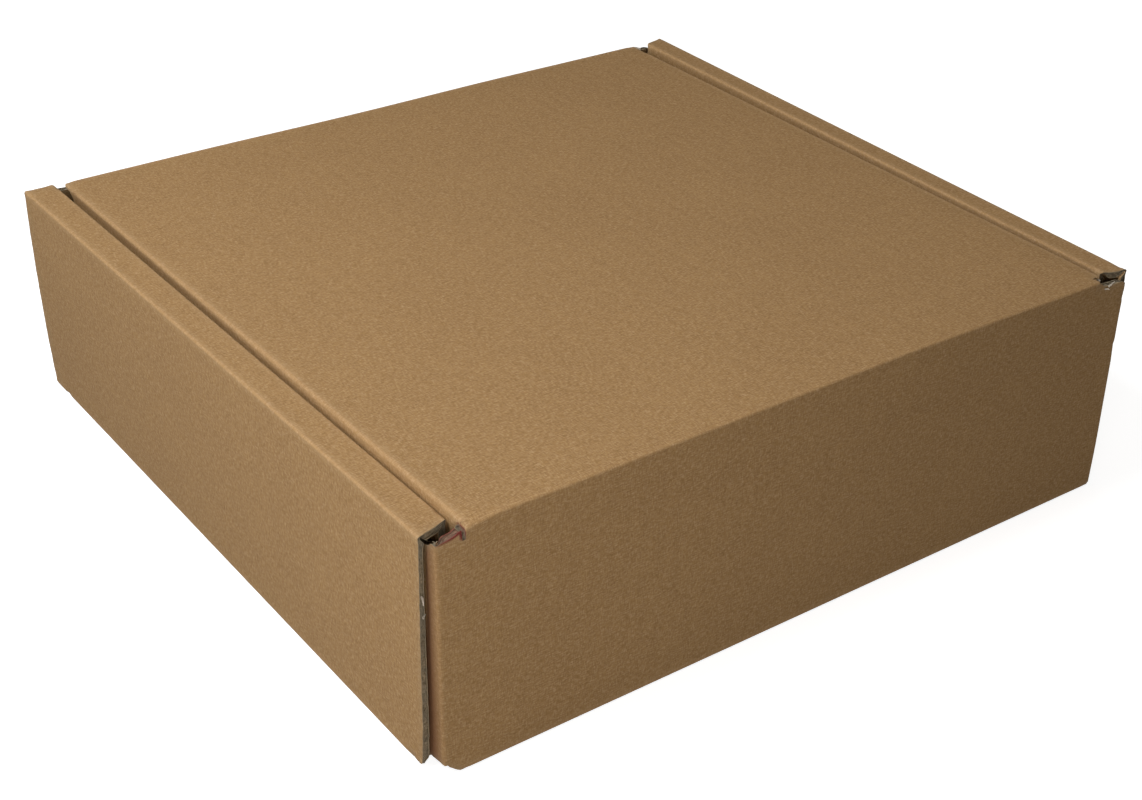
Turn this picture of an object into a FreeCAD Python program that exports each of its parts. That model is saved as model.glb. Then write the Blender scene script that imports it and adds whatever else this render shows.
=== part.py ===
import FreeCAD, Part
import math
import os
import Sketcher

# A closed mailer box, folded from one sheet of corrugated board.
# The tray has rolled double side walls, and the lid lies between their ridges.
# Frame: origin at the middle of the underside, +Z up, the hinge wall at +Y, the tuck front at -Y.

os.makedirs("parts", exist_ok=True)
doc = FreeCAD.newDocument("mailer_box")

# Driving sizes in millimetres
DRIVING_SIZES = [
    ("board", 3.0, "thickness of the corrugated board"),
    ("fold_gap", 0.3, "clearance between layers that lie on each other"),
    ("box_width", 305.0, "outside width across the two rolled side walls"),
    ("box_depth", 286.0, "outside depth from the front wall to the hinge wall"),
    ("box_height", 90.0, "height of the ridges above the underside"),
    ("side_bow", 1.5, "how far the outer side panels bulge at half height"),
    ("ridge_right", 12.0, "width of the right ridge, a loose roll"),
    ("ridge_left", 9.6, "width of the left ridge, a tight roll"),
    ("hinge_setback", 7.0, "outer side panels end this far inside the hinge wall's face"),
    ("front_setback", 3.0, "outer side panels end this far inside the front wall's face"),
    ("inner_hinge_setback", 9.0, "inner side panels end this far inside the hinge wall's face"),
    ("inner_front_setback", 8.0, "inner side panels end this far inside the front wall's face"),
    ("front_wall_drop", 2.2, "the front wall's raw top edge lies this far under the lid's top"),
    ("notch_drop", 6.0, "depth of the cut-outs at the ends of the hinge crease"),
    ("notch_radius", 3.5, "round of those cut-outs in the hinge wall"),
    ("notch_right", 11.5, "reach of the right cut-out from the outer side face"),
    ("notch_left", 19.0, "reach of the left cut-out from the outer side face"),
    ("relief_run", 8.8, "end of the base creases from the outer side face"),
    ("corner_flap_length", 82.0, "corner flaps reach this far along the side walls"),
    ("tab_width", 38.0, "width of a locking tab"),
    ("tab_spacing", 140.0, "distance between the two locking tabs of a side"),
    ("lid_gap_hinge", 0.4, "clearance from lid to ridge at the hinge"),
    ("lid_gap_front_right", 1.5, "clearance from lid to right ridge at the front"),
    ("lid_gap_front_left", 5.0, "clearance from lid to left ridge at the front"),
    ("crease_clearance", 0.8, "the lid's crease ends this far before each cut-out"),
    ("lid_corner", 6.0, "length of the slanting cut at the lid's hinge corners"),
    ("ear_height", 55.0, "the lid's side ears reach this far under the fold"),
    ("ear_rear_inset", 14.0, "the ears end this far inside the hinge wall's face"),
    ("ear_front_inset", 20.0, "the ears end this far inside the front wall's face"),
    ("ear_slant", 12.0, "the ears narrow by this much at each end"),
    ("tuck_height", 45.0, "the tuck flap reaches this far under the fold"),
    ("tuck_taper", 5.0, "the tuck flap narrows by this much on each side"),
    ("tuck_radius", 12.0, "round of the tuck flap's corners"),
    ("overcut", 1.0, "cuts run past the board by this much"),
]

sheet = doc.addObject("Spreadsheet::Sheet", "Sizes")
for row, (alias, value, meaning) in enumerate(DRIVING_SIZES, start=1):
    sheet.set("A%d" % row, meaning)
    sheet.set("B%d" % row, str(value))
    sheet.setAlias("B%d" % row, alias)
doc.recompute()


class Size:
    """A size that keeps its number and the formula that binds it to the sheet."""

    def __init__(self, value, text):
        self.value = float(value)
        self.text = text

    def __add__(self, other):
        other = as_size(other)
        return Size(self.value + other.value, "(%s + %s)" % (self.text, other.text))

    def __sub__(self, other):
        other = as_size(other)
        return Size(self.value - other.value, "(%s - %s)" % (self.text, other.text))

    def __mul__(self, other):
        other = as_size(other)
        return Size(self.value * other.value, "(%s * %s)" % (self.text, other.text))

    def __truediv__(self, other):
        other = as_size(other)
        return Size(self.value / other.value, "(%s / %s)" % (self.text, other.text))

    def __neg__(self):
        return Size(-self.value, "(0 - %s)" % self.text)


def as_size(number):
    """Plain numbers take part in formulas as they are."""
    return number if isinstance(number, Size) else Size(number, repr(float(number)))


def slope_angle(rise, run):
    """The angle of a slope in degrees."""
    value = math.degrees(math.atan(rise.value / run.value))
    return Size(value, "atan(%s / %s)" % (rise.text, run.text))


def size(alias):
    """One driving size of the sheet."""
    return Size(sheet.get(alias), "Sizes.%s" % alias)


# Sketches and features

def draw(body, name, plane, loops, offset=None, shift=None, swing=None):
    """A sketch of closed loops. A corner is (x, y), or (x, y, radius, turn) where an arc leaves it.

    turn is 1 where the arc's centre lies left of the way round, and -1 where it lies right.
    offset moves the sketch along its normal, shift along its x, and swing turns it about its y.
    """
    sketch = body.newObject("Sketcher::SketchObject", name)
    support = [item for item in body.Origin.OriginFeatures if item.Role == plane][0]
    sketch.AttachmentSupport = [(support, "")]
    sketch.MapMode = "FlatFace"
    if swing is not None:
        upright = FreeCAD.Vector(0, 1, 0)
        sketch.AttachmentOffset = FreeCAD.Placement(
            FreeCAD.Vector(), FreeCAD.Rotation(upright, swing.value))
        sketch.setExpression("AttachmentOffset.Rotation.Angle", swing.text)
    if shift is not None:
        sketch.setExpression("AttachmentOffset.Base.x", shift.text)
    if offset is not None:
        sketch.setExpression("AttachmentOffset.Base.z", offset.text)
    for loop in loops:
        draw_loop(sketch, loop)
    return sketch


def draw_loop(sketch, loop):
    """Lines and arcs from corner to corner, each corner bound to its formulas."""
    edges = []
    for here, there in zip(loop, loop[1:] + loop[:1]):
        start = FreeCAD.Vector(here[0].value, here[1].value, 0)
        end = FreeCAD.Vector(there[0].value, there[1].value, 0)
        if len(here) == 2:
            edge = sketch.addGeometry(Part.LineSegment(start, end), False)
            edges.append((edge, 1, 2))
            continue
        radius, turn = here[2], here[3]
        edge = sketch.addGeometry(arc_between(start, end, radius.value, turn), False)
        edges.append((edge, 1, 2) if turn > 0 else (edge, 2, 1))
        bind(sketch, Sketcher.Constraint("Radius", edge, radius.value), radius)
    for corner, (edge, first, last), following in zip(loop, edges, edges[1:] + edges[:1]):
        x, y = corner[0], corner[1]
        bind(sketch, Sketcher.Constraint("DistanceX", -1, 1, edge, first, x.value), x)
        bind(sketch, Sketcher.Constraint("DistanceY", -1, 1, edge, first, y.value), y)
        sketch.addConstraint(Sketcher.Constraint("Coincident", edge, last, following[0], following[1]))


def arc_between(start, end, radius, turn):
    """The shorter arc from start to end, with its centre on the given side."""
    chord = end - start
    reach = math.sqrt(radius ** 2 - (chord.Length / 2) ** 2)
    left = FreeCAD.Vector(-chord.y, chord.x, 0).normalize()
    centre = (start + end) / 2 + left * (reach * turn)
    if turn < 0:
        start, end = end, start
    first = math.atan2(start.y - centre.y, start.x - centre.x)
    last = math.atan2(end.y - centre.y, end.x - centre.x)
    if last < first:
        last += 2 * math.pi
    return Part.ArcOfCircle(Part.Circle(centre, FreeCAD.Vector(0, 0, 1), radius), first, last)


def bind(sketch, constraint, value):
    """Adds a constraint and ties it to its formula."""
    index = sketch.addConstraint(constraint)
    sketch.setExpression("Constraints[%d]" % index, value.text)


def pad(body, name, sketch, length, behind=None):
    """Extrudes a sketch along its normal, and behind it too where a second length is given."""
    feature = body.newObject("PartDesign::Pad", name)
    set_lengths(feature, sketch, length, behind)
    return feature


def pocket(body, name, sketch, length, behind=None):
    """Cuts a sketch against its normal, and along it too where a second length is given."""
    feature = body.newObject("PartDesign::Pocket", name)
    set_lengths(feature, sketch, length, behind)
    return feature


def set_lengths(feature, sketch, length, behind):
    feature.Profile = sketch
    feature.setExpression("Length", length.text)
    if behind is not None:
        feature.SideType = "Two sides"
        feature.setExpression("Length2", behind.text)
    sketch.Visibility = False


def mirrored(loop, across_x, across_y=1):
    """The same loop on the other side of the box."""
    turned = across_x * across_y
    result = []
    for corner in loop:
        place = (corner[0] * across_x, corner[1] * across_y)
        result.append(place + ((corner[2], corner[3] * turned) if len(corner) == 4 else ()))
    return result


# Values that several folds share
board = size("board")
gap = size("fold_gap")
overcut = size("overcut")
half_width = size("box_width") / 2
half_depth = size("box_depth") / 2
height = size("box_height")
wall_end = half_width - board * 2 - gap
flap_top = height - size("notch_drop")
ridges = {1: size("ridge_right"), -1: size("ridge_left")}
notches = {1: size("notch_right"), -1: size("notch_left")}
fold_cosine = math.sqrt(0.5)


# Tray

def end_wall_section():
    """Hinge wall, base and front wall, seen along X.

    The hinge crease is a quarter round. A mitre through its middle parts tray and lid there.
    """
    inner = half_depth - board
    crease = height - board
    front_top = height - size("front_wall_drop")
    return [
        (inner, crease),
        (inner, board),
        (-half_depth + board, board),
        (-half_depth + board, front_top),
        (-half_depth, front_top),
        (-half_depth, board, board, 1),
        (-half_depth + board, as_size(0)),
        (inner, as_size(0), board, 1),
        (half_depth, board),
        (half_depth, crease, board, 1),
        (inner + board * fold_cosine, crease + board * fold_cosine),
    ]


def side_roll_section():
    """Both rolled side walls and the base between them, seen along Y.

    Each outer panel goes up with a slight bow, turns over the ridge and comes down inside.
    """
    crease = height - board
    chord = height - board * 2
    bow_radius = chord * chord / (size("side_bow") * 8) + size("side_bow") / 2
    foot = board + gap

    def outside(side):
        ridge = ridges[side]
        return [
            (half_width - ridge, foot),
            (half_width - ridge, crease, board, -1),
            (half_width - ridge + board, height),
            (half_width - board, height, board, -1),
            (half_width, crease, bow_radius, -1),
            (half_width, board, board, -1),
            (half_width - board, as_size(0)),
        ]

    def inside(side):
        ridge = ridges[side]
        return [
            (half_width - board, board, bow_radius, 1),
            (half_width - board, crease),
            (half_width - ridge + board, crease),
            (half_width - ridge + board, foot),
        ]

    right_outside = outside(1)
    left_outside = reverse_loop(mirrored(outside(-1), -1))
    left_inside = mirrored(inside(-1), -1)
    right_inside = inside(1)
    return right_outside + left_outside + reverse_loop(left_inside) + right_inside


def reverse_loop(corners):
    """The same open run of corners, drawn the other way."""
    flipped = corners[::-1]
    result = []
    for corner, before in zip(flipped, flipped[1:] + [None]):
        place = (corner[0], corner[1])
        arc = (before[2], -before[3]) if before is not None and len(before) == 4 else ()
        result.append(place + arc)
    return result


def roll_end_cut(side, end):
    """Plan of what is cut from a ridge and its inner panel at one end of the box."""
    if end > 0:
        outer, inner = size("hinge_setback"), size("inner_hinge_setback")
    else:
        outer, inner = size("front_setback"), size("inner_front_setback")
    beyond = half_depth - outer + overcut
    inside = half_width - ridges[side]
    corners = [
        (half_width - board, beyond),
        (inside - overcut, beyond),
        (inside - overcut, half_depth - inner),
        (inside, half_depth - inner),
        (half_width - board, half_depth - outer),
    ]
    return mirrored(corners, side, end)


def corner_flap(side, end):
    """Plan of a corner flap: a quarter round off the end wall, then a leg inside the side roll."""
    outer = half_width - board - gap
    tip = half_depth - size("corner_flap_length")
    corners = [
        (wall_end, half_depth, board, -1),
        (outer, half_depth - board),
        (outer, tip),
        (wall_end, tip),
    ]
    return mirrored(corners, side, end)


def tab_plan(side, end, margin):
    """Plan of one locking tab, or of its slot where a margin is given."""
    inside = half_width - ridges[side]
    middle = size("tab_spacing") / 2
    half_tab = size("tab_width") / 2 + margin
    corners = [
        (inside - margin, middle - half_tab),
        (inside + board + margin, middle - half_tab),
        (inside + board + margin, middle + half_tab),
        (inside - margin, middle + half_tab),
    ]
    return mirrored(corners, side, end)


def hinge_notch(side):
    """The rounded cut-out at one end of the hinge crease, seen along Y."""
    reach = half_width - notches[side]
    floor = height - size("notch_drop")
    radius = size("notch_radius")
    corners = [
        (reach, height + overcut),
        (reach, floor + radius, radius, 1),
        (reach + radius, floor),
        (half_width + overcut, floor),
        (half_width + overcut, height + overcut),
    ]
    return mirrored(corners, side)


def base_relief(side):
    """The slanting cut that ends a base crease before the corner, seen along Y."""
    corners = [
        (half_width - size("relief_run"), -overcut),
        (half_width - size("relief_run"), as_size(0)),
        (wall_end, board + gap),
        (wall_end + overcut, board + gap),
        (wall_end + overcut, -overcut),
    ]
    return mirrored(corners, side)


def make_tray():
    body = doc.addObject("PartDesign::Body", "tray")
    body.Label = "tray"
    sides = (1, -1)
    corners = [(side, end) for side in sides for end in sides]

    section = draw(body, "end_wall_section", "YZ_Plane", [end_wall_section()])
    pad(body, "end_walls", section, wall_end, wall_end)

    relief = draw(body, "base_relief", "XZ_Plane", [base_relief(side) for side in sides])
    pocket(body, "base_creases_end", relief, half_depth + overcut, half_depth + overcut)

    notch = draw(body, "hinge_notch", "XZ_Plane", [hinge_notch(side) for side in sides],
                 offset=-(half_depth - board - overcut))
    pocket(body, "hinge_notches", notch, board + overcut * 2)

    roll = draw(body, "side_roll_section", "XZ_Plane", [side_roll_section()])
    pad(body, "side_rolls", roll,
        half_depth - size("front_setback"), half_depth - size("hinge_setback"))

    ends = draw(body, "roll_ends", "XY_Plane", [roll_end_cut(*place) for place in corners],
                offset=height + overcut)
    pocket(body, "roll_end_cuts", ends, height + overcut - board - gap / 2)

    slots = draw(body, "tab_slots", "XY_Plane", [tab_plan(*place, gap) for place in corners],
                 offset=board + gap / 2)
    pocket(body, "slots_in_base", slots, board + gap)

    tabs = draw(body, "locking_tabs", "XY_Plane",
                [tab_plan(*place, as_size(0)) for place in corners], offset=gap)
    pad(body, "tabs_through_base", tabs, board + gap)

    flaps = draw(body, "corner_flaps", "XY_Plane", [corner_flap(*place) for place in corners],
                 offset=board + gap)
    pad(body, "flaps_in_rolls", flaps, flap_top - board - gap)
    return body


# Lid

def fold_and_ear(side):
    """A strip of the lid panel, its fold and the ear, seen along the fold and drawn from its face."""
    crease = height - board
    foot = crease - size("ear_height")
    face = as_size(0)
    corners = [
        (face, foot),
        (face, crease, board, 1),
        (face - board, height),
        (face - board * 2, height),
        (face - board * 2, crease),
        (face - board, crease),
        (face - board, foot),
    ]
    return mirrored(corners, side)


def beyond_ends(rear, front):
    """Plan of what is cut from the folds' ends, to make them square with the box."""
    margin = board * 2
    return [[
        (half_width, rear),
        (half_width, rear + margin),
        (-half_width, rear + margin),
        (-half_width, rear),
    ], [
        (-half_width, -front),
        (-half_width, -front - margin),
        (half_width, -front - margin),
        (half_width, -front),
    ]]


def panel_plan(rear, front, front_edges):
    """Plan of the lid panel between its two side folds, which run slightly together."""
    hinge_gap = size("lid_gap_hinge")
    return [
        (half_width - ridges[1] - hinge_gap - board, rear),
        (-(half_width - ridges[-1] - hinge_gap - board), rear),
        (-(front_edges[-1] - board), -front),
        (front_edges[1] - board, -front),
    ]


def crease_section():
    """The lid's half of the hinge crease, seen along X."""
    inner = half_depth - board
    crease = height - board
    return [
        (inner, height, board, -1),
        (inner + board * fold_cosine, crease + board * fold_cosine),
        (inner, crease),
    ]


def tuck_section():
    """The front fold and the tuck flap, seen along X.

    The flap leans in, so that it swings clear of the front wall about the hinge crease.
    """
    face = -(half_depth - board - gap)
    crease = height - board
    foot = crease - size("tuck_height")
    reach = size("tuck_height") + board
    lean = reach * reach / ((size("box_depth") - board * 2) * 2)
    return [
        (face + board, height, board, 1),
        (face, crease),
        (face + lean, foot),
        (face + lean + board, foot),
        (face + board, crease),
    ]


def ear_end(end):
    """What is cut from the ears at one end, seen along X."""
    inset = size("ear_rear_inset") if end > 0 else size("ear_front_inset")
    top = height - board
    foot = top - size("ear_height") - overcut
    corners = [
        (half_depth - inset, top),
        (half_depth - inset - size("ear_slant"), foot),
        (half_depth, foot),
        (half_depth, top),
    ]
    return mirrored(corners, end)


def lid_corner_cut(side):
    """Plan of the slanting cut at one hinge corner of the lid."""
    crease_end = half_width - notches[side] - size("crease_clearance")
    outside = half_width - ridges[side]
    rear = half_depth - board
    corners = [
        (crease_end, rear + overcut),
        (crease_end, rear),
        (outside, rear - size("lid_corner")),
        (outside + overcut, rear - size("lid_corner")),
        (outside + overcut, rear + overcut),
    ]
    return mirrored(corners, side)


def tuck_corner_cut(edge, side):
    """What is cut from one side of the tuck flap, seen along Y."""
    top = height - board * 2
    foot = height - board - size("tuck_height")
    radius = size("tuck_radius")
    narrow = edge - size("tuck_taper")
    corners = [
        (edge + overcut, top),
        (edge, top),
        (narrow, foot + radius, radius, -1),
        (narrow - radius, foot),
        (narrow - radius, foot - overcut),
        (edge + overcut, foot - overcut),
    ]
    return mirrored(corners, side)


def make_lid():
    body = doc.addObject("PartDesign::Body", "lid")
    body.Label = "lid"
    rear = half_depth - board
    front = half_depth - board * 2 - gap
    front_edges = {
        1: half_width - ridges[1] - size("lid_gap_front_right"),
        -1: half_width - ridges[-1] - size("lid_gap_front_left"),
    }

    plan = draw(body, "panel_plan", "XY_Plane", [panel_plan(rear, front, front_edges)],
                offset=height - board)
    pad(body, "panel", plan, board)

    for side, label in ((1, "right"), (-1, "left")):
        edge = half_width - ridges[side] - size("lid_gap_hinge")
        swing = slope_angle(edge - front_edges[side], rear + front) * -side
        section = draw(body, label + "_ear_section", "XZ_Plane", [fold_and_ear(side)],
                       offset=-rear, shift=edge * side, swing=swing)
        pad(body, label + "_ear", section, rear + front + overcut, overcut)

    ends = draw(body, "beyond_ends", "XY_Plane", beyond_ends(rear, front), offset=height)
    pocket(body, "square_ends", ends, height)

    ears = draw(body, "ear_ends", "YZ_Plane", [ear_end(1), ear_end(-1)])
    pocket(body, "ear_outlines", ears, half_width, half_width)

    cuts = draw(body, "lid_corners", "XY_Plane", [lid_corner_cut(1), lid_corner_cut(-1)],
                offset=height + overcut)
    pocket(body, "lid_corner_cuts", cuts, board * 2)

    crease = draw(body, "crease_section", "YZ_Plane", [crease_section()])
    clearance = size("crease_clearance")
    pad(body, "hinge_crease", crease,
        half_width - notches[1] - clearance, half_width - notches[-1] - clearance)

    tuck = draw(body, "tuck_section", "YZ_Plane", [tuck_section()])
    pad(body, "tuck_flap", tuck, front_edges[1] - board, front_edges[-1] - board)

    trims = draw(body, "tuck_corners", "XZ_Plane",
                 [tuck_corner_cut(front_edges[side] - board, side) for side in (1, -1)],
                 offset=front)
    pocket(body, "tuck_outline", trims, board * 3, board * 3)
    return body


tray = make_tray()
lid = make_lid()
doc.recompute()

# Every object is checked before anything is written
for item in doc.Objects:
    for fault in ("Invalid", "Error"):
        if fault in item.State:
            raise RuntimeError("%s is %s" % (item.Name, fault))
for body in (tray, lid):
    if body.Shape.isNull() or not body.Shape.isValid() or len(body.Shape.Solids) != 1:
        raise RuntimeError("%s is not one valid solid" % body.Label)
    body.Shape.exportStep("parts/%s.step" % body.Label)
    print(body.Label, "volume %.0f mm3" % body.Shape.Volume, body.Shape.BoundBox)
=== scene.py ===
import math

import bmesh
import bpy
import numpy as np
from mathutils import Matrix, Vector
from mathutils.geometry import delaunay_2d_cdt
from mathutils.kdtree import KDTree


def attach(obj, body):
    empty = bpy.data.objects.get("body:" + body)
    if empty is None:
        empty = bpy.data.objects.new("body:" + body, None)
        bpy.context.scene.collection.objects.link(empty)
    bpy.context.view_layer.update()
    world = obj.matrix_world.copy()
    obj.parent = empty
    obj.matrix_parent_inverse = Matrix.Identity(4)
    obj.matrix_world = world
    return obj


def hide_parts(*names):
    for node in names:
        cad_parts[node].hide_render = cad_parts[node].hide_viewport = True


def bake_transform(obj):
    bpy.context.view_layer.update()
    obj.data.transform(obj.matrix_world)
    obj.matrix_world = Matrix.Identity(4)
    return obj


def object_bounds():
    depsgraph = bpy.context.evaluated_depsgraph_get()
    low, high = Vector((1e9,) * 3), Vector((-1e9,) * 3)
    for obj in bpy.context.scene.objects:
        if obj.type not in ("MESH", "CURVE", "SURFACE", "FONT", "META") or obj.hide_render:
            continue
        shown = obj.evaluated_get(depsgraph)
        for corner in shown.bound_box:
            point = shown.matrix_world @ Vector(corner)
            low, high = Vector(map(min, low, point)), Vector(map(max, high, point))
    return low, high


# A closed mailer box of corrugated board, folded from one flat blank.
# A point of the blank is (u, v, w): two distances along the sheet, and the depth under its outer face.
# Fold maps turn such points into the box. Lengths are in millimetres until a mesh is made.

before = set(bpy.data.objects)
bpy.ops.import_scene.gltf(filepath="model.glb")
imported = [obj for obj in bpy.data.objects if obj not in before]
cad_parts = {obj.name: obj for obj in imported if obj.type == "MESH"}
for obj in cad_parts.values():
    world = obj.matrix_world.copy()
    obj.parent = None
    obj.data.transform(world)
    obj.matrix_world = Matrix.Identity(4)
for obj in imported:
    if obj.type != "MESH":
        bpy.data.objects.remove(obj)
cad_low, cad_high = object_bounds()

MM = 0.001

# The board: its thickness, its liners and fluted medium, and the groove between the liners at a cut
BOARD = 3.0
LINER = 0.38
MEDIUM = 0.3
FLUTE_PITCH = 6.5
GROOVE = 0.5

# The folds' outer radii, the hinge crease's reach and the gap between layers
FOOT_FOLD = 1.3
FOLD = 1.0
EAR_FOLD = 1.3
TUCK_FOLD = 2.2
CREASE_REACH = 3.0
LAYER_GAP = 0.3

# A bend presses the board to a share of its radius. Pressing and rubbing reach beside it.
PRESS_SHARE = 0.82
PRESS_REACH = 2.5
WEAR_REACH = 2.2

# The box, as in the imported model: right is +X and hinge is +Y, both written as 1
HALF_WIDTH = 152.5
HALF_DEPTH = round(cad_high.y / MM, 2)
HEIGHT = round(cad_high.z / MM, 2)
SIDE_BOW = 0.7
# At the near corner the side panel's end is straight and pressed thin, and the corner flap leans out to it
END_UNBOW = 0.7
UNBOW_START, UNBOW_RUN = 85.0, 45.0
END_PINCH = 0.42
PINCH_START, PINCH_RUN = 127.0, 7.0
PINCH_FADE = 20.0
FLAP_LEAN = 1.4
LEAN_RISE, LEAN_HOLD, LEAN_FALL = 10.0, 3.0, 8.0
RIDGE = {1: 12.0, -1: 10.0}
NOTCH = {1: 11.5, -1: 18.5}
NOTCH_FLOOR = {1: HEIGHT - 1.1, -1: HEIGHT - 2.6}
CREASE_FOOT = HEIGHT - CREASE_REACH
FRONT_TOP = HEIGHT - 4.6
FLAP_TOP = HEIGHT - 6.0
# The cut between base, end wall and side roll: its run, and its middle point's place and height
RELIEF = {1: (10.6, 5.4, 3.6, 4.8), -1: (4.9, 4.5, 0.7, 1.4)}
RELIEF_DEPTH = 11.5
FLAP_LENGTH = 82.0
PANEL_FOOT = BOARD + LAYER_GAP
TAB_FOOT = LAYER_GAP
TAB_NEAR, TAB_FAR = 51.0, 89.0

# The lid
LID_GAP_HINGE = {1: 0.25, -1: 3.9}
LID_GAP_FRONT = {1: 3.6, -1: 5.4}
LID_REAR = HALF_DEPTH - CREASE_REACH
LID_FRONT = HALF_DEPTH - BOARD - LAYER_GAP
EAR_HEIGHT = 55.0
TUCK_HEIGHT = 45.0
TUCK_RADIUS = 12.0
TUCK_TAPER = 5.0

# Wall and lid are cut on the slant where they meet the hinge crease
SLANT_RUN = 9.0
SLANT_INSET, SLANT_FADE = 0.2, 1.2


# Fold paths

def smooth(t):
    """0 up to t = 0, 1 from t = 1, and an even rise between."""
    t = np.clip(t, 0.0, 1.0)
    return t * t * (3 - 2 * t)


class FoldPath:
    """The board's outer face across its folds, seen along them.

    It runs flat towards +a with the board above it, then takes its steps:
    ("bend", radius, degrees) turns towards the board, ("run", length, bow) goes straight.
    """

    def __init__(self, start, *steps):
        self.start = start
        self.steps = steps

    def bends(self):
        """Where each bend begins and ends, as distances from the start."""
        found = []
        length = 0.0
        for kind, size, more in self.steps:
            step = size * math.radians(more) if kind == "bend" else size
            if kind == "bend":
                found.append((length, length + step))
            length += step
        return found

    def near_bend(self, s, reach):
        """1 on a bend, falling to 0 at the given reach beside it."""
        near = np.zeros_like(s)
        for first, last in self.bends():
            away = np.maximum(np.maximum(first - s, s - last), 0.0)
            near = np.maximum(near, 1 - smooth(away / reach))
        return near

    def thin(self, s):
        """How much of its thickness the pressed board keeps."""
        tightest = min(size for kind, size, _ in self.steps if kind == "bend")
        pressed = min(tightest * PRESS_SHARE / BOARD, 1.0)
        return 1 - (1 - pressed) * self.near_bend(s, PRESS_REACH)

    def place(self, s, depth):
        """Where the point at distance s and that depth lies, in the plane of the section."""
        place_a = self.start + s
        place_b = depth + 0 * s
        here = np.array([self.start, 0.0])
        heading = 0.0
        length = 0.0
        for kind, size, more in self.steps:
            on = s > length
            along = s - length
            left = np.array([-math.sin(heading), math.cos(heading)])
            if kind == "bend":
                turn = math.radians(more)
                centre = here + left * size
                angle = heading + np.minimum(along / size, turn)
                place_a = np.where(on, centre[0] + (size - depth) * np.sin(angle), place_a)
                place_b = np.where(on, centre[1] - (size - depth) * np.cos(angle), place_b)
                heading += turn
                here = centre + np.array([math.sin(heading), -math.cos(heading)]) * size
                length += size * turn
            else:
                share = np.clip(along / size, 0.0, 1.0)
                inward = depth - more * 4 * share * (1 - share)
                ahead = np.array([math.cos(heading), math.sin(heading)])
                place_a = np.where(on, here[0] + ahead[0] * along + left[0] * inward, place_a)
                place_b = np.where(on, here[1] + ahead[1] * along + left[1] * inward, place_b)
                here = here + ahead * size
                length += size
        return place_a, place_b


def quarter(radius):
    """The board's length round a right-angled bend."""
    return radius * math.pi / 2


def roll_path(ridge):
    """Outer side panel, ridge and inner side panel."""
    return FoldPath(
        HALF_WIDTH - FOOT_FOLD,
        ("bend", FOOT_FOLD, 90),
        ("run", HEIGHT - FOOT_FOLD - FOLD, SIDE_BOW),
        ("bend", FOLD, 90),
        ("run", ridge - FOLD * 2, 0.0),
        ("bend", FOLD, 90),
        ("run", HEIGHT, 0.0),
    )


ROLLS = {side: roll_path(RIDGE[side]) for side in (1, -1)}
WALL = FoldPath(HALF_DEPTH - FOOT_FOLD, ("bend", FOOT_FOLD, 90), ("run", HEIGHT, 0.0))
FLAP_FACE = HALF_WIDTH - BOARD - LAYER_GAP
FLAP = FoldPath(FLAP_FACE - FOLD, ("bend", FOLD, 90), ("run", FLAP_LENGTH, 0.0))
EAR = FoldPath(0.0, ("bend", EAR_FOLD, 90), ("run", EAR_HEIGHT, 0.0))
TUCK_LEAN = math.degrees(TUCK_HEIGHT / (HALF_DEPTH * 4))
TUCK = FoldPath(
    LID_FRONT - TUCK_FOLD, ("bend", TUCK_FOLD, 90 + TUCK_LEAN), ("run", TUCK_HEIGHT, 0.0))


def fold_tray(u, v, w):
    """The tray: base, side rolls, end walls and corner flaps."""
    side = np.where(u < 0, -1.0, 1.0)
    end = np.where(v < 0, -1.0, 1.0)
    across, along = np.abs(u), np.abs(v)
    x, y, z = np.zeros_like(u), v.copy(), np.zeros_like(u)
    for one, roll in ROLLS.items():
        s = across - roll.start
        near_end = smooth((v - UNBOW_START) / UNBOW_RUN) * (one > 0)
        share = np.clip((s - quarter(FOOT_FOLD)) / (HEIGHT - FOOT_FOLD - FOLD), 0.0, 1.0)
        pinched = END_PINCH * smooth((v - PINCH_START) / PINCH_RUN) * (one > 0)
        pinch = 1 - pinched * share * smooth((1 - share) * PINCH_FADE)
        a, b = roll.place(s, w * roll.thin(s) * pinch)
        a = a - SIDE_BOW * 4 * share * (1 - share) * END_UNBOW * near_end
        x = np.where(side == one, side * a, x)
        z = np.where(side == one, b, z)
    climb = along - WALL.start
    turn = across - FLAP.start
    on_wall = climb > 0
    depth = w * WALL.thin(climb) * FLAP.thin(turn)
    a, inward = FLAP.place(turn, depth)
    wall_y, wall_z = WALL.place(climb, inward)
    # The hinge wall's top is cut on the slant, where the crease begins
    reach = np.where(side > 0, crease_reach(1), crease_reach(-1))
    slant = smooth((wall_z - CREASE_FOOT + SLANT_RUN) / SLANT_RUN)
    slant = slant * (1 - smooth((across - reach + SLANT_INSET) / SLANT_FADE))
    wall_z = wall_z - w * slant * ((end > 0) & (wall_z > HEIGHT / 2))
    lean = FLAP_LEAN * smooth((turn + LEAN_RISE) / LEAN_RISE) * (1 - smooth((turn - LEAN_HOLD) / LEAN_FALL))
    lean = lean * np.clip(wall_z / HEIGHT, 0.0, 1.0) * ((side > 0) & (end > 0))
    x = np.where(on_wall, side * (a + lean), x)
    y = np.where(on_wall, end * wall_y, y)
    z = np.where(on_wall, wall_z, z)
    return np.stack([x, y, z], 1)


def lid_fold_line(side, v):
    """Where the lid's side fold begins: the two folds run slightly together."""
    share = (LID_REAR - v) / (LID_REAR + LID_FRONT)
    gap = LID_GAP_HINGE[side] + (LID_GAP_FRONT[side] - LID_GAP_HINGE[side]) * share
    return HALF_WIDTH - RIDGE[side] - gap - EAR_FOLD


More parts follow.
